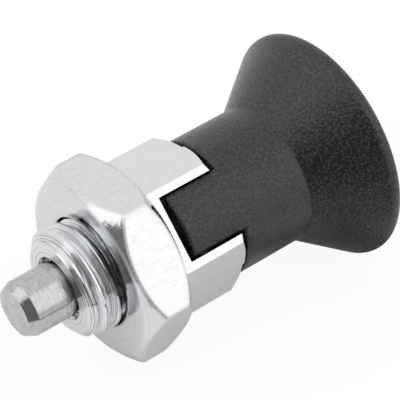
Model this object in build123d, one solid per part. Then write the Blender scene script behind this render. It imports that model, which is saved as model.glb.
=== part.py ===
from build123d import *

import os
from math import asin, cos, pi, radians, sin, tan

# Indexing plunger, short type, with lock nut. A sprung steel pin runs in a threaded guide, and a
# plastic pull knob on its stem draws it back. Two tongues on the knob drop into a slot across the
# guide's hexagon collar: drawn clear of the slot and turned a quarter, the knob parks the pin.
#
# Millimetres. The plunger's axis is X: the pin points to -X and the knob is at +X. X = 0 is the
# plane of the lock nut's front face, which seats on the plate that the guide is screwed into.

# ---- driving sizes --------------------------------------------------------------------------

# Threaded guide, M12 x 1.5. Plain cylinders stand for the thread: its crests where it is in the
# open, and a smaller one where the guide's flanks and the nut's share their space.
THREAD_CREST_D = 11.8
THREAD_EXPOSED = 3.65            # from the guide's front face to the lock nut's front face
THREAD_MESH_EASE = 0.18          # radial
THREAD_NUT_OVERLAP = 0.1         # how far the open crests run into the nut
FRONT_CHAMFER_LENGTH = 0.9
FRONT_CHAMFER_WIDTH = 1.05
RELIEF_D = 9.9                   # undercut between the last thread and the collar
RELIEF_LENGTH = 1.8

# Hexagon collar, with the slot for the knob's tongues and the shallow resting groove across it.
COLLAR_ACROSS_FLATS = 15.0
COLLAR_LENGTH = 8.2
COLLAR_CHAMFER_ANGLE = 38.0      # of the cone that takes the corners off, from the end face
COLLAR_FLAT_BITE = 0.15          # depth of the cone at the middle of a flat
SLOT_WIDTH = 7.0
SLOT_DEPTH = 7.0
REST_GROOVE_WIDTH = 7.2
REST_GROOVE_DEPTH = 0.35

# Lock nut.
NUT_ACROSS_FLATS = 19.0
NUT_THICKNESS = 5.7
NUT_CHAMFER_ANGLE = 40.0
NUT_FLAT_BITE = 0.33
NUT_THREAD_CLEARANCE = 0.05      # radial, over the guide's crests
NUT_MOUTH_WIDTH = 0.8            # radial width of the 45 degree mouth at each end
NUT_COLLAR_GAP = 0.05

# Index pin.
NOSE_D = 6.0
NOSE_PROJECTION = 5.2            # beyond the guide's front face
NOSE_CHAMFER_LENGTH = 1.0
NOSE_CHAMFER_WIDTH = 0.5
NOSE_SINK = 0.1                  # how far the full nose reaches into the guide at rest
UNDERCUT_DEPTH = 0.2             # radial, below the nose
UNDERCUT_LENGTH = 1.0
LAND_STEP = 0.2                  # radial, from the nose up to the land that the bore guides
SHOULDER_D = 8.0
SHOULDER_LENGTH = 1.0
STEM_D = 4.2
KNURL_LENGTH = 9.0
KNURL_TEETH = 18
KNURL_DEPTH = 0.25
STEM_END_CHAMFER = 0.4

# Bores of the guide, from the front to the back.
RUNNING_CLEARANCE = 0.05         # radial, of the land in its bore and of the stem in the bush
GUIDE_BORE_LENGTH = 3.0
MOUTH_WIDTH = 0.21
MOUTH_DEPTH = 0.5
SHOULDER_CLEARANCE = 0.15        # radial, of the shoulder in the spring's chamber
SEAT_GAP = 0.03                  # between faces that rest on each other across two bodies

# Retaining bush, pressed between the collar's two jaws. It backs the spring and guides the stem.
BUSH_D = 9.2
BUSH_LENGTH = 1.2
BUSH_SETBACK = 0.05              # below the floor of the resting groove
BUSH_PRESS = 0.02                # radial interference
BUSH_EDGE_CHAMFER = 0.2

# Return spring.
SPRING_WIRE_D = 0.7
SPRING_MEAN_D = 6.8
SPRING_TURNS = 6.5

# Pull knob.
NECK_D = 15.1
NECK_LENGTH = 8.18               # from its front face to the corner where the cone starts
NECK_EDGE_ROUND = 0.25
KNOB_COLLAR_GAP = 0.2
CONE_ANGLE = 36.6                # from the axis
CONE_FOOT_ROUND = 0.3
RIM_D = 25.1
RIM_ROUND = 0.95
CROWN_RISE = 1.2                 # of the domed end, over the back of the rim
KNOB_HOLE_D = 4.0                # smaller than the stem, whose knurl bites into it
KNOB_HOLE_MARGIN = 0.5           # beyond the end of the stem
TONGUE_SIDE_CLEARANCE = 0.2      # to each wall of the slot
TONGUE_TIP_CLEARANCE = 0.85      # to the floor of the slot
TONGUE_BUSH_CLEARANCE = 0.25     # radial, around the retaining bush
TONGUE_EDGE_ROUND = 0.35

# How far the slot, and the nearest flat of the lock nut, are turned from +Z towards -Y.
SLOT_TURN = 42.0
NUT_TURN = 52.0

# ---- places that follow ---------------------------------------------------------------------

guide_front_x = -THREAD_EXPOSED
crest_r = THREAD_CREST_D / 2
collar_front_x = NUT_THICKNESS + NUT_COLLAR_GAP
collar_back_x = collar_front_x + COLLAR_LENGTH
slot_floor_x = collar_back_x - SLOT_DEPTH
groove_floor_x = collar_back_x - REST_GROOVE_DEPTH

nose_r = NOSE_D / 2
land_r = nose_r + LAND_STEP
stem_r = STEM_D / 2
guide_bore_r = land_r + RUNNING_CLEARANCE
chamber_r = SHOULDER_D / 2 + SHOULDER_CLEARANCE
chamber_front_x = guide_front_x + GUIDE_BORE_LENGTH
shoulder_front_x = chamber_front_x + SEAT_GAP
shoulder_back_x = shoulder_front_x + SHOULDER_LENGTH
bush_back_x = groove_floor_x - BUSH_SETBACK
bush_front_x = bush_back_x - BUSH_LENGTH

neck_r = NECK_D / 2
neck_front_x = collar_back_x + KNOB_COLLAR_GAP
cone_corner_x = neck_front_x + NECK_LENGTH
tongue_tip_x = slot_floor_x + TONGUE_TIP_CLEARANCE
knurl_start_x = neck_front_x + STEM_END_CHAMFER
stem_end_x = knurl_start_x + KNURL_LENGTH


# ---- ways of making -------------------------------------------------------------------------

def turned(*outline):
    """A solid of revolution about X from (x, radius) corners, listed around its half section."""
    section = make_face(Polyline(*outline, close=True))
    return revolve(section, Axis.X, 360)


def bar_along_x(sketch, start_x, end_x):
    """A sketch of the section across the axis, run from start_x to end_x."""
    return extrude(Plane.YZ.offset(start_x) * sketch, end_x - start_x)


def hexagon_bar(across_flats, start_x, end_x):
    """A hexagon bar with one flat facing +Z."""
    hexagon = RegularPolygon(across_flats / 2, 6, major_radius=False)
    return bar_along_x(hexagon, start_x, end_x)


def corner_blank(across_flats, front_x, back_x, angle, bite):
    """The turned blank whose cones take a hexagon's corners off at both end faces."""
    slope = tan(radians(angle))
    face_r = across_flats / 2 - bite / slope
    belly_r = face_r + (back_x - front_x) / 2 / slope
    return turned(
        (front_x, 0),
        (front_x, face_r),
        ((front_x + back_x) / 2, belly_r),
        (back_x, face_r),
        (back_x, 0),
    )


def polar_point(centre, radius, angle):
    """The point at an angle, in radians from +X, on a circle in the half section."""
    return (centre[0] + radius * cos(angle), centre[1] + radius * sin(angle))


def arc(centre, radius, start_angle, end_angle):
    """An arc in the half section between two angles in radians from +X."""
    angles = (start_angle, (start_angle + end_angle) / 2, end_angle)
    return ThreePointArc(*[polar_point(centre, radius, angle) for angle in angles])


# ---- pieces ---------------------------------------------------------------------------------

def guide_sleeve():
    """The threaded sleeve in front of the collar, solid, with the undercut behind its thread."""
    meshed_r = crest_r - THREAD_MESH_EASE
    relief_start_x = collar_front_x - RELIEF_LENGTH
    collar_middle_x = (collar_front_x + slot_floor_x) / 2
    return turned(
        (guide_front_x, 0),
        (guide_front_x, crest_r - FRONT_CHAMFER_WIDTH),
        (guide_front_x + FRONT_CHAMFER_LENGTH, crest_r),
        (THREAD_NUT_OVERLAP, crest_r),
        (THREAD_NUT_OVERLAP, meshed_r),
        (relief_start_x, meshed_r),
        (relief_start_x, RELIEF_D / 2),
        (collar_middle_x, RELIEF_D / 2),
        (collar_middle_x, 0),
    )


def guide_bores():
    """All that is bored out of the guide: flared mouth, pin bore, spring chamber and bush seat."""
    outside = 1.0
    mouth_slope = MOUTH_WIDTH / MOUTH_DEPTH
    return turned(
        (guide_front_x - outside, 0),
        (guide_front_x - outside, guide_bore_r + MOUTH_WIDTH + outside * mouth_slope),
        (guide_front_x + MOUTH_DEPTH, guide_bore_r),
        (chamber_front_x, guide_bore_r),
        (chamber_front_x, chamber_r),
        (bush_front_x, chamber_r),
        (bush_front_x, BUSH_D / 2),
        (collar_back_x + outside, BUSH_D / 2),
        (collar_back_x + outside, 0),
    )


def make_guide_body():
    """Threaded sleeve and hexagon collar, turned and milled from one bar."""
    collar = hexagon_bar(COLLAR_ACROSS_FLATS, collar_front_x, collar_back_x)
    # Only the back end is chamfered, so the blank starts well ahead of the collar.
    blank_front_x = collar_front_x - COLLAR_LENGTH
    collar &= corner_blank(
        COLLAR_ACROSS_FLATS, blank_front_x, collar_back_x, COLLAR_CHAMFER_ANGLE, COLLAR_FLAT_BITE
    )
    body = guide_sleeve() + collar - guide_bores()

    cutter_length = 2 * COLLAR_ACROSS_FLATS
    clear_x = collar_back_x + SLOT_DEPTH
    body -= bar_along_x(Rectangle(SLOT_WIDTH, cutter_length), slot_floor_x, clear_x)
    body -= bar_along_x(Rectangle(cutter_length, REST_GROOVE_WIDTH), groove_floor_x, clear_x)
    return Rot(X=SLOT_TURN) * body


def make_lock_nut():
    """Thin hexagon nut, chamfered on both faces, with a wide mouth at each end of its thread."""
    bore_r = crest_r + NUT_THREAD_CLEARANCE
    mouth_r = bore_r + NUT_MOUTH_WIDTH
    nut = hexagon_bar(NUT_ACROSS_FLATS, 0, NUT_THICKNESS)
    nut &= corner_blank(NUT_ACROSS_FLATS, 0, NUT_THICKNESS, NUT_CHAMFER_ANGLE, NUT_FLAT_BITE)
    nut -= turned(
        (0, 0),
        (0, mouth_r),
        (NUT_MOUTH_WIDTH, bore_r),
        (NUT_THICKNESS - NUT_MOUTH_WIDTH, bore_r),
        (NUT_THICKNESS, mouth_r),
        (NUT_THICKNESS, 0),
    )
    return Rot(X=NUT_TURN) * nut


def knurled_end():
    """The straight-knurled end of the stem, with a lead-in chamfer at each end."""
    root_r = stem_r - KNURL_DEPTH
    half_tooth = pi / KNURL_TEETH
    corners = []
    for tooth in range(KNURL_TEETH):
        corners.append(polar_point((0, 0), stem_r, 2 * tooth * half_tooth))
        corners.append(polar_point((0, 0), root_r, (2 * tooth + 1) * half_tooth))
    toothed_bar = bar_along_x(make_face(Polyline(*corners, close=True)), knurl_start_x, stem_end_x)
    lead_in = turned(
        (knurl_start_x, 0),
        (knurl_start_x, stem_r - STEM_END_CHAMFER),
        (knurl_start_x + STEM_END_CHAMFER, stem_r),
        (stem_end_x - STEM_END_CHAMFER, stem_r),
        (stem_end_x, stem_r - STEM_END_CHAMFER),
        (stem_end_x, 0),
    )
    return toothed_bar & lead_in


def make_index_pin():
    """Turned and ground pin: chamfered nose, undercut, guided land, shoulder and knurled stem."""
    tip_x = guide_front_x - NOSE_PROJECTION
    nose_end_x = guide_front_x + NOSE_SINK
    land_start_x = nose_end_x + UNDERCUT_LENGTH
    stem_overlap_x = knurl_start_x + STEM_END_CHAMFER
    pin = turned(
        (tip_x, 0),
        (tip_x, nose_r - NOSE_CHAMFER_WIDTH),
        (tip_x + NOSE_CHAMFER_LENGTH, nose_r),
        (nose_end_x, nose_r),
        (nose_end_x, nose_r - UNDERCUT_DEPTH),
        (land_start_x, nose_r - UNDERCUT_DEPTH),
        (land_start_x, land_r),
        (shoulder_front_x, land_r),
        (shoulder_front_x, SHOULDER_D / 2),
        (shoulder_back_x, SHOULDER_D / 2),
        (shoulder_back_x, stem_r),
        (knurl_start_x, stem_r),
        (stem_overlap_x, stem_r - KNURL_DEPTH),
        (stem_overlap_x, 0),
    )
    return pin + knurled_end()


def make_return_spring():
    """Compression spring between the pin's shoulder and the bush."""
    wire_r = SPRING_WIRE_D / 2
    first_turn_x = shoulder_back_x + SEAT_GAP + wire_r
    last_turn_x = bush_front_x - SEAT_GAP - wire_r
    length = last_turn_x - first_turn_x
    path = Helix(length / SPRING_TURNS, length, SPRING_MEAN_D / 2)
    section = Plane(origin=path @ 0, z_dir=path % 0) * Circle(wire_r)
    return Pos(X=first_turn_x) * Rot(Y=90) * sweep(section, path, is_frenet=True)


def make_retaining_bush():
    """Steel ring pressed between the collar's jaws."""
    outer_r = BUSH_D / 2 + BUSH_PRESS
    bore_r = stem_r + RUNNING_CLEARANCE
    return turned(
        (bush_front_x, bore_r + BUSH_EDGE_CHAMFER),
        (bush_front_x, outer_r - BUSH_EDGE_CHAMFER),
        (bush_front_x + BUSH_EDGE_CHAMFER, outer_r),
        (bush_back_x, outer_r),
        (bush_back_x, bore_r + BUSH_EDGE_CHAMFER),
        (bush_back_x - BUSH_EDGE_CHAMFER, bore_r),
        (bush_front_x + BUSH_EDGE_CHAMFER, bore_r),
    )


def knob_blank():
    """The knob without its hole and tongues: neck, cone, round rim and domed end."""
    cone_angle = radians(CONE_ANGLE)
    cone_normal = cone_angle + pi / 2
    rim_centre_r = RIM_D / 2 - RIM_ROUND
    # The rim's round is tangent to the cone, and the dome is tangent to the rim's round.
    cone_rise = rim_centre_r + RIM_ROUND / cos(cone_angle) - neck_r
    rim_centre = (cone_corner_x + cone_rise / tan(cone_angle), rim_centre_r)
    crown_x = rim_centre[0] + RIM_ROUND + CROWN_RISE
    dome_r = (rim_centre_r ** 2 + (RIM_ROUND + CROWN_RISE) ** 2 - RIM_ROUND ** 2) / (2 * CROWN_RISE)
    dome_edge = asin(rim_centre_r / (dome_r - RIM_ROUND))

    foot_reach = CONE_FOOT_ROUND * tan(cone_angle / 2)
    foot_centre = (cone_corner_x - foot_reach, neck_r + CONE_FOOT_ROUND)
    foot = arc(foot_centre, CONE_FOOT_ROUND, -pi / 2, cone_angle - pi / 2)
    edge_centre = (neck_front_x + NECK_EDGE_ROUND, neck_r - NECK_EDGE_ROUND)
    neck_edge = arc(edge_centre, NECK_EDGE_ROUND, pi, pi / 2)
    rim = arc(rim_centre, RIM_ROUND, cone_normal, dome_edge)
    dome = arc((crown_x - dome_r, 0), dome_r, dome_edge, 0)
    outline = [
        Line((neck_front_x, 0), neck_edge @ 0),
        neck_edge,
        Line(neck_edge @ 1, foot @ 0),
        foot,
        Line(foot @ 1, rim @ 0),
        rim,
        dome,
        Line(dome @ 1, (neck_front_x, 0)),
    ]
    return revolve(make_face(outline), Axis.X, 360)


def knob_tongues():
    """Two tongues that carry the neck's own cylinder forward into the slot."""
    inner_r = BUSH_D / 2 + TONGUE_BUSH_CLEARANCE
    width = SLOT_WIDTH - 2 * TONGUE_SIDE_CLEARANCE
    root_x = neck_front_x + 2 * NECK_EDGE_ROUND
    section = (Circle(neck_r) - Circle(inner_r)) & Rectangle(width, NECK_D)
    tongues = bar_along_x(section, tongue_tip_x, root_x)
    tip_edges = tongues.faces().group_by(Axis.X)[0].edges()
    # The edges along the axis are rounded too, on the outer side only.
    long_edges = tongues.edges().filter_by(Axis.X).filter_by(
        lambda edge: Vector(0, edge.center().Y, edge.center().Z).length > (inner_r + neck_r) / 2
    )
    return fillet(tip_edges + long_edges, TONGUE_EDGE_ROUND)


def make_pull_knob():
    """Moulded knob with a blind hole for the stem and two tongues that key into the collar."""
    hole = turned(
        (neck_front_x, 0),
        (neck_front_x, KNOB_HOLE_D / 2),
        (stem_end_x + KNOB_HOLE_MARGIN, KNOB_HOLE_D / 2),
        (stem_end_x + KNOB_HOLE_MARGIN, 0),
    )
    knob = knob_blank() + knob_tongues() - hole
    return Rot(X=SLOT_TURN) * knob


PIECES = {
    "guide_body": make_guide_body,
    "lock_nut": make_lock_nut,
    "index_pin": make_index_pin,
    "return_spring": make_return_spring,
    "retaining_bush": make_retaining_bush,
    "pull_knob": make_pull_knob,
}


def main():
    os.makedirs("parts", exist_ok=True)
    for name, make_piece in PIECES.items():
        export_step(make_piece(), f"parts/{name}.step")


main()
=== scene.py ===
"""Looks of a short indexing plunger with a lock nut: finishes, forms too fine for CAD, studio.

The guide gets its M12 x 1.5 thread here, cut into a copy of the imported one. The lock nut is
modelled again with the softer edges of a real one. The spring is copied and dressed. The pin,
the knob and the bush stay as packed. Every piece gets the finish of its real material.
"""

import logging
import math
from dataclasses import dataclass
from enum import Enum

import bpy
from mathutils import Matrix, Vector

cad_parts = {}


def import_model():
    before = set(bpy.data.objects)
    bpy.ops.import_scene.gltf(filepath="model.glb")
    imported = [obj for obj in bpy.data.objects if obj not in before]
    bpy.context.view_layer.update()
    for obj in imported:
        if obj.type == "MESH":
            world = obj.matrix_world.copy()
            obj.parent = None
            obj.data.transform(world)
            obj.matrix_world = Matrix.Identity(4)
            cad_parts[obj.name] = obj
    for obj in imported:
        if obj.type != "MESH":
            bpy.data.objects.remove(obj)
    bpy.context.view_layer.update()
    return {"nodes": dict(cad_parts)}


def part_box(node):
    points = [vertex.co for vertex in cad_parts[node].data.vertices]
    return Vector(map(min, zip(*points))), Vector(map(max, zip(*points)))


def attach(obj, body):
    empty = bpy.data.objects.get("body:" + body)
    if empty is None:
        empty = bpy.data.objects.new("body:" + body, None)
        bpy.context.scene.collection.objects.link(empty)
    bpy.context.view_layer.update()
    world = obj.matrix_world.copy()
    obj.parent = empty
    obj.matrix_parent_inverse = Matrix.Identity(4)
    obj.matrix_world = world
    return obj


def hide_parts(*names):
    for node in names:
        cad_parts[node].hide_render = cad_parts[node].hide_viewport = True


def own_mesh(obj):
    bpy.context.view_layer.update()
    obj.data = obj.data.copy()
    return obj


MM = 0.001
WHITE = (1.0, 1.0, 1.0, 1.0)

# Nearly all of a noise pattern lies in this span.
NOISE_SPAN = (0.3, 0.7)
# How many rays look for an edge that is shown rounded.
EDGE_SAMPLES = 4
# A Mix node names its inputs alike for every type of data, so they are taken by number.
MIX_FACTOR = 0
MIX_NUMBERS = (2, 3)
MIX_COLOURS = (6, 7)
MIXED_COLOUR = 2

log = logging.getLogger("indexing_plunger")


class Cut(Enum):
    """What a cutting tool leaves of a piece."""

    ALL_OUTSIDE = "DIFFERENCE"
    ALL_WITHIN = "INTERSECT"


class TurnedArea(Enum):
    """Which faces of a piece of hexagon bar were turned; its flats stay as the bar was drawn."""

    END_FACES = "all faces that look along the axis"
    END_FACES_AND_SLEEVE = "those, and all that lies nearer to the axis than the flats"


# ---- helpers for meshes ---------------------------------------------------------------------


def select_only(piece: bpy.types.Object) -> None:
    """Deselects everything else and makes the piece active.

    Args:
        piece: the object that the next operator acts on.
    """
    bpy.ops.object.select_all(action="DESELECT")
    piece.select_set(True)
    bpy.context.view_layer.objects.active = piece


def apply_modifier(piece: bpy.types.Object, kind: str, **settings: object) -> None:
    """Adds a modifier with its settings and applies it.

    Args:
        piece: the object to change.
        kind: the modifier's type, as the program names it.
        settings: the modifier's own properties.
    """
    select_only(piece)
    modifier = piece.modifiers.new(kind.lower(), kind)
    for key, value in settings.items():
        setattr(modifier, key, value)
    bpy.ops.object.modifier_apply(modifier=modifier.name)


def merged_copy(node: bpy.types.Object, name: str) -> bpy.types.Object:
    """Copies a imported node's mesh and joins its loose triangles.

    Args:
        node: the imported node, which is left alone.
        name: the new piece's name.

    Returns:
        The copy, in place, with shared corners.
    """
    weld_distance = 0.0005 * MM
    mesh = node.data.copy()
    mesh.name = name
    piece = bpy.data.objects.new(name, mesh)
    bpy.context.scene.collection.objects.link(piece)
    select_only(piece)
    bpy.ops.object.mode_set(mode="EDIT")
    bpy.ops.mesh.select_all(action="SELECT")
    bpy.ops.mesh.customdata_custom_splitnormals_clear()
    bpy.ops.mesh.remove_doubles(threshold=weld_distance)
    bpy.ops.object.mode_set(mode="OBJECT")
    return piece


def turned_solid(
    name: str, outline_mm: list[tuple[float, float]], segments: int
) -> bpy.types.Object:
    """Turns a solid about the X axis by extruding a disc from ring to ring.

    Args:
        name: the new object's name.
        outline_mm: each ring's place along X and its radius, from the front to the back.
        segments: the number of sides round the axis.

    Returns:
        The closed solid.
    """
    first_x, first_radius = outline_mm[0]
    bpy.ops.object.select_all(action="DESELECT")
    bpy.ops.mesh.primitive_circle_add(
        vertices=segments, radius=first_radius * MM, fill_type="NGON",
        location=(first_x * MM, 0.0, 0.0), rotation=(0.0, math.pi / 2, 0.0),
    )
    solid = bpy.context.object
    solid.name = name
    bpy.ops.object.transform_apply(location=True, rotation=True, scale=True)
    bpy.ops.object.mode_set(mode="EDIT")
    bpy.ops.mesh.select_all(action="SELECT")
    for (last_x, last_radius), (x, radius) in zip(outline_mm, outline_mm[1:]):
        bpy.ops.mesh.extrude_region_move(
            TRANSFORM_OT_translate={"value": ((x - last_x) * MM, 0.0, 0.0)}
        )
        growth = radius / last_radius
        bpy.ops.transform.resize(
            value=(1.0, growth, growth), center_override=(x * MM, 0.0, 0.0)
        )
    bpy.ops.mesh.select_all(action="SELECT")
    bpy.ops.mesh.normals_make_consistent(inside=False)
    bpy.ops.object.mode_set(mode="OBJECT")
    return solid


def cut(piece: bpy.types.Object, tool: bpy.types.Object, leaves: Cut) -> None:
    """Cuts the piece with a tool, which is then removed.

    Args:
        piece: the piece to change.
        tool: the closed solid to cut with.
        leaves: which side of the tool's surface is left of the piece.
    """
    same_place = 1e-8
    apply_modifier(
        piece, "BOOLEAN", object=tool, operation=leaves.value, solver="EXACT",
        double_threshold=same_place,
    )
    bpy.data.objects.remove(tool)


# ---- helpers for materials ------------------------------------------------------------------


def linear(hex_colour: str) -> tuple[float, float, float, float]:
    """Turns an sRGB colour into linear light, by the formula of the sRGB standard.

    Args:
        hex_colour: the colour as #RRGGBB.

    Returns:
        Linear red, green and blue, and an alpha of 1.
    """
    channels = [int(hex_colour[i:i + 2], 16) / 255 for i in (1, 3, 5)]
    red, green, blue = (
        c / 12.92 if c <= 0.04045 else ((c + 0.055) / 1.055) ** 2.4 for c in channels
    )
    return (red, green, blue, 1.0)


def add_node(
    tree: bpy.types.NodeTree,
    kind: str,
    inputs: dict[str | int, object] | None = None,
    **settings: object,
) -> bpy.types.Node:
    """Adds a node with its settings, values and links.

    Args:
        tree: the node tree to add to.
        kind: the node's type name without its ShaderNode prefix.
        inputs: a value or another node's output for each named or numbered input.
        settings: the node's own properties.

    Returns:
        The new node.
    """
    node = tree.nodes.new("ShaderNode" + kind)
    for key, value in settings.items():
        setattr(node, key, value)
    for key, value in (inputs or {}).items():
        if isinstance(value, bpy.types.NodeSocket):
            tree.links.new(value, node.inputs[key])
        else:
            node.inputs[key].default_value = value
    return node


def new_material(name: str) -> tuple[bpy.types.Material, bpy.types.NodeTree, bpy.types.Node]:
    """Makes a material that holds only its output.

    Args:
        name: the finish's name.

    Returns:
        The material, its empty node tree and its output node.
    """
    material = bpy.data.materials.new(name)
    material.use_nodes = True
    tree = material.node_tree
    tree.nodes.clear()
    return material, tree, add_node(tree, "OutputMaterial")


def place_in_mm(tree: bpy.types.NodeTree) -> tuple[bpy.types.Node, bpy.types.NodeSocket]:
    """Adds a surface point's coordinates, for patterns that are sized in millimetres.

    Args:
        tree: the node tree to add to.

    Returns:
        The coordinate node, and the place on the object in millimetres.
    """
    coords = add_node(tree, "TexCoord")
    place = add_node(
        tree, "Mapping", {"Vector": coords.outputs["Object"], "Scale": (1 / MM,) * 3}
    )
    return coords, place.outputs[0]


def view_rays(
    tree: bpy.types.NodeTree,
) -> tuple[bpy.types.NodeSocket, bpy.types.NodeSocket]:
    """Tells direct and mirrored views from the light that falls on the object.

    Args:
        tree: the node tree to add to.

    Returns:
        1 for the camera's own rays, and 1 for rays that a surface mirrors or lets through.
    """
    path = add_node(tree, "LightPath")
    mirrored = add_node(
        tree, "Math",
        {0: path.outputs["Is Glossy Ray"], 1: path.outputs["Is Transmission Ray"]},
        operation="MAXIMUM",
    )
    return path.outputs["Is Camera Ray"], mirrored.outputs[0]


def dress(piece: bpy.types.Object, finish: bpy.types.Material) -> None:
    """Puts one material on the whole piece.

    Args:
        piece: the piece to dress.
        finish: its material.
    """
    if piece.material_slots:
        for slot in piece.material_slots:
            slot.material = finish
    else:
        piece.data.materials.append(finish)


def dress_smooth(
    piece: bpy.types.Object, finish: bpy.types.Material, edge_degrees: float
) -> None:
    """Dresses a new piece and smooths it except at its edges.

    Args:
        piece: the piece, whose old materials go.
        finish: its material.
        edge_degrees: the angle from which two faces meet in an edge.
    """
    piece.data.materials.clear()
    dress(piece, finish)
    select_only(piece)
    bpy.ops.object.shade_smooth_by_angle(angle=math.radians(edge_degrees))


# ---- finishes -------------------------------------------------------------------------------


@dataclass(frozen=True)
class ZincPlatedSteel:
    """Free-cutting steel, turned and milled from drawn hexagon bar, then bright zinc plated.

    The thin bright plating gives a pale, slightly blue mirror that follows what lies under it:
    rings on every turned face, which pull a reflection out into streaks, and long drawing marks
    on the bar's flats, which leave it almost whole. The valleys of both carry a painted shade.
    Burrs are plated over, so edges look soft.
    """

    # The real feed marks are about 0.05 mm apart and a few thousandths of a millimetre deep, too
    # fine to part in a view of the whole plunger. They are drawn several times coarser, and on
    # the thread and the collar's ends deeper, where they break a reflection up.

    ring_height_mm: float
    edge_round_mm: float
    colour: str = "#DCDDDF"
    # Painted shade: the darker colour given to the valleys of the rings and drawing marks.
    painted_groove_shade: str = "#CED0D2"
    roughness: float = 0.07
    roughness_spread: tuple[float, float] = (-0.03, 0.05)
    clouds_per_mm: float = 0.35
    # The tool's feed runs along the turned profile. The rings follow one sum, the radius plus a
    # share of the place along the axis, which serves cylinders, end faces and cones alike.
    ring_spacing_mm: float = 0.3
    axial_share: float = 0.83
    # The rings wander a little: how far, over what length along the axis, and how quickly that
    # changes round the axis, as a share of how quickly along it.
    wander_mm: float = 0.5
    wander_length_mm: float = 0.625
    wander_round: float = 0.12
    # The noise values at which a ring's colour is all painted groove shade and all crest.
    ring_contrast: tuple[float, float] = (0.2, 0.7)
    # The drawing marks change more slowly along the bar than across it, by this share. Their
    # colour goes from a paleness of its own, above the painted groove shade, up to that of the
    # crests.
    drawing_mark_mm: float = 0.3
    drawing_along: float = 0.3
    drawing_height_mm: float = 0.003
    drawing_contrast: tuple[float, float] = (0.2, 0.7)
    drawing_paleness: float = 0.0
    # How far a face must look along the axis to start and to be an end face, and the radius
    # within which a collar's sleeve lies.
    end_face_share: tuple[float, float] = (0.25, 0.4)
    sleeve_reach_mm: float = 6.5
    peel_mm: float = 0.4
    peel_height_mm: float = 0.008

    def turned(
        self, tree: bpy.types.NodeTree, normal: bpy.types.NodeSocket,
        radius: bpy.types.NodeSocket, area: TurnedArea,
    ) -> bpy.types.NodeSocket:
        """Tells turned faces from the bar's flats.

        Args:
            tree: the node tree to add to.
            normal: the direction that a face looks in.
            radius: the distance from the axis in millimetres.
            area: the faces that were turned.

        Returns:
            1 on turned faces and 0 on flats.
        """
        facing = add_node(tree, "SeparateXYZ", {0: normal})
        axial = add_node(tree, "Math", {0: facing.outputs["X"]}, operation="ABSOLUTE")
        low, high = self.end_face_share
        share = add_node(
            tree, "MapRange", {"Value": axial.outputs[0], "From Min": low, "From Max": high}
        )
        if area is TurnedArea.END_FACES:
            return share.outputs[0]
        sleeve = add_node(
            tree, "Math", {0: radius, 1: self.sleeve_reach_mm}, operation="LESS_THAN"
        )
        either = add_node(
            tree, "Math", {0: share.outputs[0], 1: sleeve.outputs[0]}, operation="MAXIMUM"
        )
        return either.outputs[0]

    def rings(
        self, tree: bpy.types.NodeTree, place: bpy.types.NodeSocket,
        radius: bpy.types.NodeSocket,
    ) -> bpy.types.NodeSocket:
        """Draws the turning tool's rings.

        Args:
            tree: the node tree to add to.
            place: the place on the object in millimetres.
            radius: the distance from the axis in millimetres.

        Returns:
            The height of the rings.
        """
        along = add_node(tree, "SeparateXYZ", {0: place})
        feed = add_node(
            tree, "Math", {0: along.outputs["X"], 1: self.axial_share, 2: radius},
            operation="MULTIPLY_ADD",
        )
        wander_place = add_node(
            tree, "Mapping",
            {"Vector": place, "Scale": (1.0, self.wander_round, self.wander_round)},
        )
        wander = add_node(
            tree, "TexNoise",
            {
                "Vector": wander_place.outputs[0],
                "Scale": 1 / self.wander_length_mm,
                "Detail": 2.0,
            },
        )
        ring_place = add_node(
            tree, "Math", {0: wander.outputs[0], 1: self.wander_mm, 2: feed.outputs[0]},
            operation="MULTIPLY_ADD",
        )
        rings = add_node(
            tree, "TexNoise",
            {"W": ring_place.outputs[0], "Scale": 1 / self.ring_spacing_mm, "Detail": 2.0},
            noise_dimensions="1D",
        )
        return rings.outputs[0]

    def material(self, name: str, area: TurnedArea) -> bpy.types.Material:
        """Builds the material.

        Args:
            name: the material's name.
            area: the faces that show turned rings.

        Returns:
            The material.
        """
        material, tree, output = new_material(name)
        coords, place = place_in_mm(tree)
        across = add_node(tree, "VectorMath", {0: place, 1: (0.0, 1.0, 1.0)}, operation="MULTIPLY")
        radius = add_node(
            tree, "VectorMath", {0: across.outputs[0]}, operation="LENGTH"
        ).outputs["Value"]
        turned = self.turned(tree, coords.outputs["Normal"], radius, area)
        flat = add_node(tree, "Math", {0: 1.0, 1: turned}, operation="SUBTRACT").outputs[0]
        rings = self.rings(tree, place, radius)
        drawn_place = add_node(
            tree, "Mapping", {"Vector": place, "Scale": (self.drawing_along, 1.0, 1.0)}
        )
        drawn = add_node(
            tree, "TexNoise",
            {"Vector": drawn_place.outputs[0], "Scale": 1 / self.drawing_mark_mm, "Detail": 3.0},
        ).outputs[0]
        peel = add_node(
            tree, "TexNoise", {"Vector": place, "Scale": 1 / self.peel_mm, "Detail": 3.0}
        ).outputs[0]

        normal = add_node(
            tree, "Bevel", {"Radius": self.edge_round_mm * MM}, samples=EDGE_SAMPLES
        ).outputs[0]
        for share, height_mm, pattern in (
            (turned, self.ring_height_mm, rings),
            (flat, self.drawing_height_mm, drawn),
            (turned, self.peel_height_mm, peel),
        ):
            normal = add_node(
                tree, "Bump",
                {
                    "Strength": share,
                    "Distance": height_mm * MM,
                    "Height": pattern,
                    "Normal": normal,
                },
            ).outputs[0]

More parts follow.
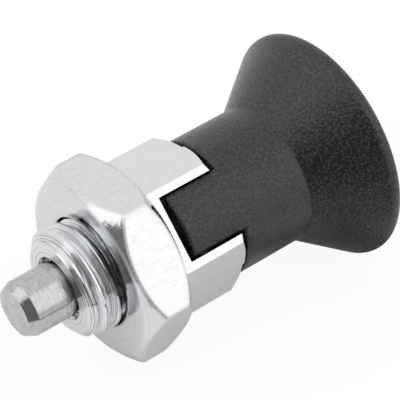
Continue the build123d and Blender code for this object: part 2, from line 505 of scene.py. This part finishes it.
        cloud = add_node(
            tree, "TexNoise", {"Vector": place, "Scale": self.clouds_per_mm, "Detail": 4.0}
        )
        roughness = add_node(
            tree, "MapRange",
            {
                "Value": cloud.outputs[0],
                "From Min": NOISE_SPAN[0],
                "From Max": NOISE_SPAN[1],
                "To Min": self.roughness + self.roughness_spread[0],
                "To Max": self.roughness + self.roughness_spread[1],
            },
        )
        ring_shade = add_node(
            tree, "MapRange",
            {
                "Value": rings,
                "From Min": self.ring_contrast[0],
                "From Max": self.ring_contrast[1],
            },
        )
        drawn_shade = add_node(
            tree, "MapRange",
            {
                "Value": drawn,
                "From Min": self.drawing_contrast[0],
                "From Max": self.drawing_contrast[1],
                "To Min": self.drawing_paleness,
            },
        )
        shade = add_node(
            tree, "Mix",
            {
                MIX_FACTOR: turned,
                MIX_NUMBERS[0]: drawn_shade.outputs[0],
                MIX_NUMBERS[1]: ring_shade.outputs[0],
            },
            data_type="FLOAT",
        )
        # Painted shade: the marks' valleys are mixed towards the darker groove colour.
        colour = add_node(
            tree, "Mix",
            {
                MIX_FACTOR: shade.outputs[0],
                MIX_COLOURS[0]: linear(self.painted_groove_shade),
                MIX_COLOURS[1]: linear(self.colour),
            },
            data_type="RGBA",
        )
        shader = add_node(
            tree, "BsdfPrincipled",
            {
                "Base Color": colour.outputs[MIXED_COLOUR],
                "Metallic": 1.0,
                "Roughness": roughness.outputs[0],
                "Normal": normal,
            },
        )
        tree.links.new(shader.outputs[0], output.inputs[0])
        return material


@dataclass(frozen=True)
class GroundSteel:
    """Hardened steel, ground on a cylindrical grinder and left bare.

    Fine grinding rings run round the piece and blur a reflection along the axis more than round
    it. Bare steel is a little darker and warmer than the plating beside it.
    """

    # Real grinding marks are some 0.02 mm apart. They are drawn eight times coarser, and deeper
    # in proportion, so that they still blur the reflection in a view of the whole plunger.

    colour: str = "#C4C4C4"
    # Painted shade: the darker colour given to the valleys of the grinding marks.
    painted_groove_shade: str = "#A8A8A9"
    roughness: float = 0.12
    roughness_spread: tuple[float, float] = (-0.03, 0.06)
    clouds_per_mm: float = 0.8
    mark_spacing_mm: float = 0.16
    mark_height_mm: float = 0.025
    # How quickly a mark changes round the axis, as a share of how quickly along it.
    mark_round: float = 0.2
    edge_round_mm: float = 0.06

    def material(self, name: str) -> bpy.types.Material:
        """Builds the material.

        Args:
            name: the material's name.

        Returns:
            The material.
        """
        material, tree, output = new_material(name)
        _, place = place_in_mm(tree)
        mark_place = add_node(
            tree, "Mapping", {"Vector": place, "Scale": (1.0, self.mark_round, self.mark_round)}
        )
        marks = add_node(
            tree, "TexNoise",
            {"Vector": mark_place.outputs[0], "Scale": 1 / self.mark_spacing_mm, "Detail": 3.0},
        )
        rounded = add_node(
            tree, "Bevel", {"Radius": self.edge_round_mm * MM}, samples=EDGE_SAMPLES
        )
        bump = add_node(
            tree, "Bump",
            {
                "Strength": 1.0,
                "Distance": self.mark_height_mm * MM,
                "Height": marks.outputs[0],
                "Normal": rounded.outputs[0],
            },
        )
        cloud = add_node(
            tree, "TexNoise", {"Vector": place, "Scale": self.clouds_per_mm, "Detail": 4.0}
        )
        roughness = add_node(
            tree, "MapRange",
            {
                "Value": cloud.outputs[0],
                "From Min": NOISE_SPAN[0],
                "From Max": NOISE_SPAN[1],
                "To Min": self.roughness + self.roughness_spread[0],
                "To Max": self.roughness + self.roughness_spread[1],
            },
        )
        shade = add_node(
            tree, "MapRange",
            {"Value": marks.outputs[0], "From Min": NOISE_SPAN[0], "From Max": NOISE_SPAN[1]},
        )
        # Painted shade: the marks' valleys are mixed towards the darker groove colour.
        colour = add_node(
            tree, "Mix",
            {
                MIX_FACTOR: shade.outputs[0],
                MIX_COLOURS[0]: linear(self.painted_groove_shade),
                MIX_COLOURS[1]: linear(self.colour),
            },
            data_type="RGBA",
        )
        shader = add_node(
            tree, "BsdfPrincipled",
            {
                "Base Color": colour.outputs[MIXED_COLOUR],
                "Metallic": 1.0,
                "Roughness": roughness.outputs[0],
                "Normal": bump.outputs[0],
            },
        )
        tree.links.new(shader.outputs[0], output.inputs[0])
        return material


@dataclass(frozen=True)
class DrawnSpringWire(GroundSteel):
    """Hard-drawn carbon steel wire, coiled cold and left bare.

    The die leaves fine lines along the wire, which runs round the axis, so they lie as grinding
    rings do, only shallower. The wire is duller and a little browner than ground steel.
    """

    colour: str = "#A9A7A3"
    # Painted shade: the darker colour given to the valleys of the die lines.
    painted_groove_shade: str = "#8E8C88"
    roughness: float = 0.22
    mark_height_mm: float = 0.01


@dataclass(frozen=True)
class SparkTexturedPolyamide:
    """Black glass-filled polyamide, injection moulded in a spark-eroded mould.

    The mould's erosion pits leave a fine even grain of bright specks on near black, matt from a
    distance; the specks come from the grain's bumps and from painted highlights on its peaks over
    painted shade in its pits. A soft sheen stays where the form turns towards the light, and where
    the form mirrors something dark the surface falls to a deep black.
    """

    # The real grain is about 0.1 mm across and 0.01 mm high. It is drawn coarser and deeper, as
    # specks that fine would be lost in a view of the whole plunger.

    # Painted shade in the grain's pits and painted highlight on its peaks.
    painted_pit_shade: str = "#020202"
    painted_peak_highlight: str = "#3A3A3C"
    roughness: float = 0.27
    grain_mm: float = 0.25
    grain_height_mm: float = 0.09
    grain_raggedness: float = 0.6
    # The noise values at which the grain's colour is all painted pit shade and all painted peak
    # highlight.
    grain_contrast: tuple[float, float] = (0.44, 0.72)
    ior: float = 1.54

    def material(self, name: str) -> bpy.types.Material:
        """Builds the material.

        Args:
            name: the material's name.

        Returns:
            The material.
        """
        material, tree, output = new_material(name)
        _, place = place_in_mm(tree)
        grain = add_node(
            tree, "TexNoise",
            {
                "Vector": place,
                "Scale": 1 / self.grain_mm,
                "Detail": 2.0,
                "Roughness": self.grain_raggedness,
            },
        )
        bump = add_node(
            tree, "Bump",
            {"Strength": 1.0, "Distance": self.grain_height_mm * MM, "Height": grain.outputs[0]},
        )
        height = add_node(
            tree, "MapRange",
            {
                "Value": grain.outputs[0],
                "From Min": self.grain_contrast[0],
                "From Max": self.grain_contrast[1],
            },
        )
        # Painted shade and highlight: pits darker and peaks lighter by the grain's height.
        colour = add_node(
            tree, "Mix",
            {
                MIX_FACTOR: height.outputs[0],
                MIX_COLOURS[0]: linear(self.painted_pit_shade),
                MIX_COLOURS[1]: linear(self.painted_peak_highlight),
            },
            data_type="RGBA",
        )
        shader = add_node(
            tree, "BsdfPrincipled",
            {
                "Base Color": colour.outputs[MIXED_COLOUR],
                "Roughness": self.roughness,
                "IOR": self.ior,
                "Normal": bump.outputs[0],
            },
        )
        tree.links.new(shader.outputs[0], output.inputs[0])
        return material


# ---- pieces ---------------------------------------------------------------------------------


@dataclass
class ThreadedGuide:
    """The guide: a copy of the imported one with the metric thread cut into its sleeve."""

    pitch_mm: float = 1.5
    crest_radius_mm: float = 5.9
    groove_depth_mm: float = 0.86
    groove_root_mm: float = 0.3
    flank_degrees: float = 30.0
    # Where the cutting tool starts, above the axis and in front of the sleeve's end.
    first_groove_mm: float = -6.143
    turns: int = 7
    steps: int = 96
    # How far the cutting tool stands out over the crests.
    over_crest_mm: float = 0.1
    edge_degrees: float = 25.0

    def groove_cutter(self) -> bpy.types.Object:
        """Models the tool's path: a trapezoid profile swept along the helix.

        Returns:
            A closed helical bar, as deep and wide as the thread's groove.
        """
        reach = self.groove_depth_mm + self.over_crest_mm
        mouth = self.groove_root_mm + 2 * reach * math.tan(math.radians(self.flank_degrees))
        half_root = self.groove_root_mm / 2 * MM
        middle_x = self.first_groove_mm * MM
        middle_z = (self.crest_radius_mm - self.groove_depth_mm + reach / 2) * MM
        bpy.ops.object.select_all(action="DESELECT")
        bpy.ops.mesh.primitive_plane_add(size=1.0, rotation=(math.pi / 2, 0.0, 0.0))
        cutter = bpy.context.object
        cutter.name = "thread_groove_cutter"
        cutter.scale = (mouth * MM, reach * MM, 1.0)
        cutter.location = (middle_x, 0.0, middle_z)
        bpy.ops.object.transform_apply(location=True, rotation=True, scale=True)
        for vertex in cutter.data.vertices:
            if vertex.co.z < middle_z:
                vertex.co.x = middle_x + math.copysign(half_root, vertex.co.x - middle_x)
        bpy.ops.object.mode_set(mode="EDIT")
        bpy.ops.mesh.select_all(action="SELECT")
        bpy.ops.mesh.delete(type="ONLY_FACE")
        bpy.ops.object.mode_set(mode="OBJECT")
        apply_modifier(
            cutter, "SCREW", axis="X", angle=2 * math.pi, screw_offset=self.pitch_mm * MM,
            iterations=self.turns, steps=self.steps, render_steps=self.steps,
        )
        bpy.ops.object.mode_set(mode="EDIT")
        bpy.ops.mesh.select_all(action="DESELECT")
        bpy.ops.mesh.select_mode(type="EDGE")
        bpy.ops.mesh.select_non_manifold()
        bpy.ops.mesh.edge_face_add()
        bpy.ops.mesh.select_all(action="SELECT")
        bpy.ops.mesh.normals_make_consistent(inside=False)
        bpy.ops.object.mode_set(mode="OBJECT")
        return cutter

    def build(self, packed: bpy.types.Object, finish: bpy.types.Material) -> bpy.types.Object:
        """Cuts the thread and dresses the guide.

        Args:
            packed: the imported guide.
            finish: the material for the whole piece.

        Returns:
            The threaded guide.
        """
        guide = merged_copy(packed, "threaded_guide")
        cut(guide, self.groove_cutter(), Cut.ALL_OUTSIDE)
        dress_smooth(guide, finish, self.edge_degrees)
        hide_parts("guide_body")
        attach(guide, "guide")
        return guide


@dataclass
class ReturnSpring:
    """The spring in the guide's chamber; on the real plunger it shortens as the plunger is pulled.
    """

    seat_x_mm: float = 12.32
    travel_mm: float = 6.6
    edge_degrees: float = 40.0

    def build(self, packed: bpy.types.Object, finish: bpy.types.Material) -> bpy.types.Object:
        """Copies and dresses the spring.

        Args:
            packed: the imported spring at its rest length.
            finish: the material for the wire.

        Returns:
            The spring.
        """
        spring = merged_copy(packed, "wound_return_spring")
        dress_smooth(spring, finish, self.edge_degrees)
        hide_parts("return_spring")
        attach(spring, "guide")
        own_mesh(spring)
        return spring


@dataclass
class PackedPieces:
    """The pin, the knob pressed on its stem and the bush behind the spring, kept as packed."""

    pin_node: str = "index_pin"
    knob_node: str = "pull_knob"
    bush_node: str = "retaining_bush"

    def build(
        self, nodes: dict[str, bpy.types.Object], steel: bpy.types.Material,
        plastic: bpy.types.Material,
    ) -> None:
        """Dresses the three pieces.

        Args:
            nodes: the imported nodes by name.
            steel: the finish of the pin and the bush.
            plastic: the knob's finish.
        """
        for node, finish in (
            (self.pin_node, steel), (self.knob_node, plastic), (self.bush_node, steel)
        ):
            dress(nodes[node], finish)
            log.info("%s: dressed in %s", node, finish.name)


@dataclass
class HexagonNut:
    """The lock nut, with slightly domed corner chamfers as a worn form tool leaves them.

    Its bore stays plain: the nut slides without turning in this model, and a thread that meshes
    at rest would cut through the guide's anywhere else.
    """

    across_flats_mm: float = 19.0
    thickness_mm: float = 5.7
    turn_degrees: float = 8.0
    face_radius_mm: float = 9.107
    chamfer_degrees: float = 40.0
    dome_degrees: float = 14.0
    edge_radius_mm: float = 0.3
    bore_radius_mm: float = 5.95
    mouth_radius_mm: float = 6.02
    back_mouth_radius_mm: float = 6.75
    mouth_depth_mm: float = 0.8
    # How far the boring tool runs out past both faces.
    overrun_mm: float = 1.0
    segments: int = 180
    dome_rings: int = 8
    edge_rings: int = 4
    edge_degrees: float = 18.0

    @property
    def corner_radius_mm(self) -> float:
        """The distance from the axis to a corner of the hexagon."""
        return self.across_flats_mm / math.sqrt(3.0)

    def chamfer_outline(self) -> list[tuple[float, float]]:
        """Works out the front chamfer's rings: the face's rounded edge, then the dome.

        Returns:
            Each ring's place along X and its radius, from the face outwards.
        """
        start = self.chamfer_degrees - self.dome_degrees / 2
        across = self.corner_radius_mm - self.face_radius_mm
        run = across / math.cos(math.radians(self.chamfer_degrees))
        arc_radius = run / (2 * math.sin(math.radians(self.dome_degrees / 2)))
        back_off = self.edge_radius_mm * math.tan(math.radians(start / 2))
        outline = []
        for k in range(self.edge_rings + 1):
            slope = math.radians(start * k / self.edge_rings)
            outline.append((
                self.edge_radius_mm * (1 - math.cos(slope)),
                self.face_radius_mm - back_off + self.edge_radius_mm * math.sin(slope),
            ))
        x, radius = outline[-1]
        step = arc_radius * math.radians(self.dome_degrees) / self.dome_rings
        # The dome's last slope goes on past the corners, so that the blank is wider than the bar.
        for k in range(2 * self.dome_rings):
            rings = min(k + 0.5, self.dome_rings)
            slope = math.radians(start + self.dome_degrees * rings / self.dome_rings)
            x += step * math.sin(slope)
            radius += step * math.cos(slope)
            outline.append((x, radius))
        return outline

    def build(self, finish: bpy.types.Material) -> bpy.types.Object:
        """Models and dresses the nut.

        Args:
            finish: the material for the whole piece.

        Returns:
            The nut.
        """
        middle = self.thickness_mm / 2
        bpy.ops.object.select_all(action="DESELECT")
        bpy.ops.mesh.primitive_cylinder_add(
            vertices=6, radius=self.corner_radius_mm * MM, depth=self.thickness_mm * MM,
            location=(middle * MM, 0.0, 0.0), rotation=(0.0, math.pi / 2, 0.0),
        )
        nut = bpy.context.object
        nut.name = "domed_hexagon_nut"
        bpy.ops.object.transform_apply(location=True, rotation=True, scale=True)
        nut.rotation_euler.x = math.radians(-self.turn_degrees)
        bpy.ops.object.transform_apply(location=True, rotation=True, scale=True)

        front = self.chamfer_outline()
        back = [(self.thickness_mm - x, radius) for x, radius in reversed(front)]
        front = [ring for ring in front if ring[0] < middle]
        back = [ring for ring in back if ring[0] > middle]
        cut(nut, turned_solid("nut_blank", front + back, self.segments), Cut.ALL_WITHIN)
        flare = (self.mouth_radius_mm - self.bore_radius_mm) / self.mouth_depth_mm
        back_flare = (self.back_mouth_radius_mm - self.bore_radius_mm) / self.mouth_depth_mm
        bore = [
            (-self.overrun_mm, self.mouth_radius_mm + self.overrun_mm * flare),
            (self.mouth_depth_mm, self.bore_radius_mm),
            (self.thickness_mm - self.mouth_depth_mm, self.bore_radius_mm),
            (
                self.thickness_mm + self.overrun_mm,
                self.back_mouth_radius_mm + self.overrun_mm * back_flare,
            ),
        ]
        cut(nut, turned_solid("nut_bore", bore, self.segments), Cut.ALL_OUTSIDE)
        dress_smooth(nut, finish, self.edge_degrees)
        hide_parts("lock_nut")
        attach(nut, "nut")
        return nut


# ---- studio ---------------------------------------------------------------------------------


@dataclass(frozen=True)
class SoftPanel:
    """A lamp behind a diffusing sheet, which faces the object.

    Its azimuth and elevation are degrees from the object, its sizes and distance are metres, and
    its level is how much brighter it is than the white tent behind it.
    """

    name: str
    azimuth: float
    elevation: float
    width: float
    height: float
    level: float
    mirrored: bool = True
    distance: float = 0.6

    def hang(self) -> None:
        """Hangs the panel; polished surfaces see it only if it is to be mirrored."""
        azimuth, elevation = math.radians(self.azimuth), math.radians(self.elevation)
        place = Vector((
            math.cos(azimuth) * math.cos(elevation),
            math.sin(azimuth) * math.cos(elevation),
            math.sin(elevation),
        )) * self.distance
        data = bpy.data.lights.new(self.name, "AREA")
        data.shape = "RECTANGLE"
        data.size, data.size_y = self.width, self.height
        data.energy = self.level * math.pi * self.width * self.height
        lamp = bpy.data.objects.new(self.name, data)
        turn = place.to_track_quat("Z", "Y").to_matrix().to_4x4()
        lamp.matrix_world = Matrix.Translation(place) @ turn
        lamp.visible_glossy = self.mirrored
        bpy.context.scene.collection.objects.link(lamp)


@dataclass
class Studio:
    """A white tent with a pale floor, soft panels, dark sheets at the front and the camera.

    The tent's white walls and the panels are what the metal mirrors, and two keys light the
    floor and the plastic. The dark flag and mat glow grey with no lamp, and only mirrors see
    them. They give the metal its dark streaks and the knob's cone its black side, the flag as
    painted dark reflection and the mat as painted shadow under the object.
    """

    focal_px: float = 2157.8
    frame_px: float = 400.0
    azimuth: float = -38.05
    elevation: float = 45.24
    camera_place_mm: tuple[float, float, float] = (-80.52, -120.66, 155.91)
    sensor_mm: float = 36.0
    clip_start_mm: float = 10.0
    wall_light: float = 0.2
    floor_size_mm: float = 3000.0
    floor_tone: str = "#F4F4F4"
    # The share of the floor's white that glows by itself, to the camera and to mirrors.
    floor_glow: float = 0.94
    mirrored_floor_glow: float = 0.12
    flag_distance_mm: float = 90.0
    # The grey that the flag and mat glow with, as painted reflection and painted shadow.
    painted_shade_tone: str = "#7E7E7E"
    sheet_lift_mm: float = 0.2
    # The corners along X and Y of the mat, a painted shadow under the object that only mirrors
    # see.
    shadow_sheet_corners_mm: tuple[tuple[float, float], ...] = (
        (22.5, 10.0), (36.0, 10.0), (36.0, -13.0), (25.0, -14.0), (23.0, -20.0), (23.0, -29.0),
        (16.5, -38.0), (6.5, -49.0), (2.0, -54.0), (-3.0, -48.0), (3.0, -39.0), (9.0, -33.0),
        (11.5, -27.0), (14.0, -22.0), (18.0, -17.0), (22.5, -12.0),
    )
    # For each upright of the flag: its direction in degrees, where its foot starts on the floor
    # in mm from the middle, and the height of its top in degrees.
    flag_outline: tuple[tuple[float, float, float], ...] = (
        (-84.0, 50.0, 36.0), (-90.0, 40.0, 44.0), (-97.0, 44.0, 48.0), (-104.0, 52.0, 52.0),
        (-115.0, 52.0, 56.0), (-128.0, 42.0, 58.0), (-140.0, 34.0, 58.0), (-147.0, 44.0, 59.0),
        (-151.0, 76.0, 60.0), (-158.0, 76.0, 60.0), (-163.0, 70.0, 57.0), (-168.0, 64.0, 48.0),
        (-174.0, 64.0, 38.0), (-180.0, 66.0, 29.0), (-186.0, 70.0, 23.0), (-193.0, 74.0, 18.0),
        (-199.0, 78.0, 12.0),
    )
    panels: tuple[SoftPanel, ...] = (
        SoftPanel("front_panel", -56.0, 38.0, width=0.55, height=0.75, level=0.42),
        SoftPanel("back_panel", 161.0, 17.0, width=0.34, height=0.42, level=0.45),
        SoftPanel("top_panel", 140.0, 54.0, width=0.5, height=0.34, level=0.45),
        SoftPanel("back_key", 150.0, 52.0, width=0.5, height=0.5, level=2.5, mirrored=False),
        SoftPanel("top_key", -60.0, 74.0, width=0.5, height=0.5, level=2.3, mirrored=False),
    )

    def camera(self) -> None:
        """Places the camera on its tripod."""
        azimuth = math.radians(self.azimuth)
        elevation = math.radians(self.elevation)
        back = Vector((
            math.sin(azimuth) * math.cos(elevation),
            -math.cos(azimuth) * math.cos(elevation),
            math.sin(elevation),
        ))
        right = Vector((math.cos(azimuth), math.sin(azimuth), 0.0))
        turn = Matrix((right, back.cross(right), back)).transposed().to_4x4()
        data = bpy.data.cameras.new("camera")
        data.sensor_width = self.sensor_mm
        data.lens = self.focal_px / self.frame_px * self.sensor_mm
        data.clip_start = self.clip_start_mm * MM
        camera = bpy.data.objects.new("camera", data)
        camera.matrix_world = Matrix.Translation(Vector(self.camera_place_mm) * MM) @ turn
        bpy.context.scene.collection.objects.link(camera)
        bpy.context.scene.camera = camera

    def floor(self, height: float) -> None:
        """Lays the floor, which glows white to the camera and a little to mirrors.

        Args:
            height: the floor's height in metres.
        """
        bpy.ops.object.select_all(action="DESELECT")
        bpy.ops.mesh.primitive_plane_add(size=self.floor_size_mm * MM, location=(0.0, 0.0, height))
        floor = bpy.context.object
        floor.name = "studio_floor"
        material, tree, output = new_material("white_floor")
        paint = add_node(tree, "BsdfDiffuse", {"Color": linear(self.floor_tone)})
        glow = add_node(tree, "Emission", {"Color": WHITE, "Strength": 1.0})
        camera_ray, mirror_ray = view_rays(tree)
        seen = add_node(tree, "Math", {0: camera_ray, 1: self.floor_glow}, operation="MULTIPLY")
        share = add_node(
            tree, "Math", {0: mirror_ray, 1: self.mirrored_floor_glow, 2: seen.outputs[0]},
            operation="MULTIPLY_ADD",
        )
        mix = add_node(
            tree, "MixShader", {0: share.outputs[0], 1: paint.outputs[0], 2: glow.outputs[0]}
        )
        tree.links.new(mix.outputs[0], output.inputs[0])
        dress(floor, material)

    def flag(self, height: float) -> None:
        """Sets the dark flag at the front, a painted dark reflection, and lays the dark mat, a
        painted shadow under the object, for mirrors alone to see.

        Args:
            height: the floor's height in metres, which the flag's foot and the mat lie on.
        """
        sheet_z = height + self.sheet_lift_mm * MM
        bays = len(self.flag_outline) - 1
        # The flag's rows: its near edge on the floor is row 0, then come its fold and its top.
        fold, top_edge = 1, 2
        # The flag: a grey glowing sheet that only mirrors see, which paints dark reflections.
        bpy.ops.object.select_all(action="DESELECT")
        bpy.ops.mesh.primitive_grid_add(x_subdivisions=bays, y_subdivisions=top_edge, size=1.0)
        flag = bpy.context.object
        flag.name = "painted_reflection_flag"
        for vertex in flag.data.vertices:
            row = round((vertex.co.y + 0.5) * top_edge)
            azimuth, near_mm, top = self.flag_outline[round((vertex.co.x + 0.5) * bays)]
            distance = (near_mm if row < fold else self.flag_distance_mm) * MM
            vertex.co = (
                distance * math.cos(math.radians(azimuth)),
                distance * math.sin(math.radians(azimuth)),
                distance * math.tan(math.radians(top)) if row > fold else sheet_z,
            )
        # The mat: a grey glowing sheet on the floor that paints the object's shadow into mirrors.
        bpy.ops.mesh.primitive_circle_add(
            vertices=len(self.shadow_sheet_corners_mm), radius=1.0, fill_type="NGON"
        )
        mat = bpy.context.object
        mat.name = "painted_shadow_sheet"
        for vertex, (x, y) in zip(mat.data.vertices, self.shadow_sheet_corners_mm):
            vertex.co = (x * MM, y * MM, sheet_z)
        # Both sheets glow grey with no lamp: painted dark reflection and painted shadow.
        material, tree, output = new_material("painted_shadow_and_reflection")
        felt = add_node(tree, "Emission", {"Color": linear(self.painted_shade_tone), "Strength": 1.0})
        tree.links.new(felt.outputs[0], output.inputs[0])
        for sheet in (flag, mat):
            dress(sheet, material)
            sheet.visible_camera = False
            sheet.visible_diffuse = False
            sheet.visible_shadow = False

    def walls(self) -> None:
        """Sets the tent's walls: white to the camera and to mirrors, and soft as light."""
        scene = bpy.context.scene
        world = bpy.data.worlds.new("white_tent")
        scene.world = world
        world.use_nodes = True
        tree = world.node_tree
        tree.nodes.clear()
        output = add_node(tree, "OutputWorld")
        light = add_node(tree, "Background", {"Color": WHITE, "Strength": self.wall_light})
        white = add_node(tree, "Background", {"Color": WHITE, "Strength": 1.0})
        camera_ray, mirror_ray = view_rays(tree)
        seen = add_node(tree, "Math", {0: camera_ray, 1: mirror_ray}, operation="MAXIMUM")
        mix = add_node(
            tree, "MixShader", {0: seen.outputs[0], 1: light.outputs[0], 2: white.outputs[0]}
        )
        tree.links.new(mix.outputs[0], output.inputs[0])
        scene.view_settings.view_transform = "Standard"

    def build(self, floor_height: float) -> None:
        """Sets up the camera, the floor, the dark sheets, the panels and the walls.

        Args:
            floor_height: the height in metres of what the object lies on.
        """
        self.camera()
        self.floor(floor_height)
        self.flag(floor_height)
        for panel in self.panels:
            panel.hang()
        self.walls()
        log.info("studio: %d panels", len(self.panels))


def main() -> None:
    """Builds the pieces in order, dresses them and sets the studio."""
    logging.basicConfig(level=logging.INFO, format="%(name)s: %(message)s")
    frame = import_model()
    nodes = frame["nodes"]

    # Zinc over a cut thread and turned faces: the valleys between the tool's marks get a dark
    # painted shade, so the crests read as bright lines on grey. The milled and drawn flats stay
    # pale.
    plated_guide = ZincPlatedSteel(
        # The groove colour here is a deep painted shade in the thread's valleys.
        ring_height_mm=0.04, edge_round_mm=0.04, painted_groove_shade="#8A8C8F", roughness=0.05,
        ring_spacing_mm=0.2, ring_contrast=(0.28, 0.45), drawing_paleness=0.85,
    ).material("zinc_plated_threaded_guide", TurnedArea.END_FACES_AND_SLEEVE)
    # Zinc over a faced end: faint rings and a slightly uneven, milky mirror, with a soft line
    # along each edge where the plating runs over it.
    plated_nut = ZincPlatedSteel(
        ring_height_mm=0.005, edge_round_mm=0.6, peel_height_mm=0.016
    ).material("zinc_plated_hexagon_nut", TurnedArea.END_FACES)
    # Hardened and ground: a clear bright band along the pin between two darker ones.
    ground = GroundSteel().material("ground_hardened_steel")
    # Drawn and coiled: dull, with lines along the wire and no bright plating.
    drawn_wire = DrawnSpringWire().material("drawn_spring_wire")
    # Moulded black: a fine glittering grain in the light, partly painted as highlights on the
    # grain's peaks and shade in its pits, and a deep black away from it.
    plastic = SparkTexturedPolyamide().material("black_polyamide")

    guide = ThreadedGuide().build(nodes["guide_body"], plated_guide)
    log.info("threaded guide: %d faces", len(guide.data.polygons))
    nut = HexagonNut().build(plated_nut)
    log.info("hexagon nut: %d faces", len(nut.data.polygons))
    spring = ReturnSpring().build(nodes["return_spring"], drawn_wire)
    log.info("return spring: %d faces", len(spring.data.polygons))
    PackedPieces().build(nodes, steel=ground, plastic=plastic)

    # The plunger lies on the knob's rim.
    floor_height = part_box("pull_knob")[0].z
    Studio().build(floor_height)


if __name__ == "__main__":
    main()
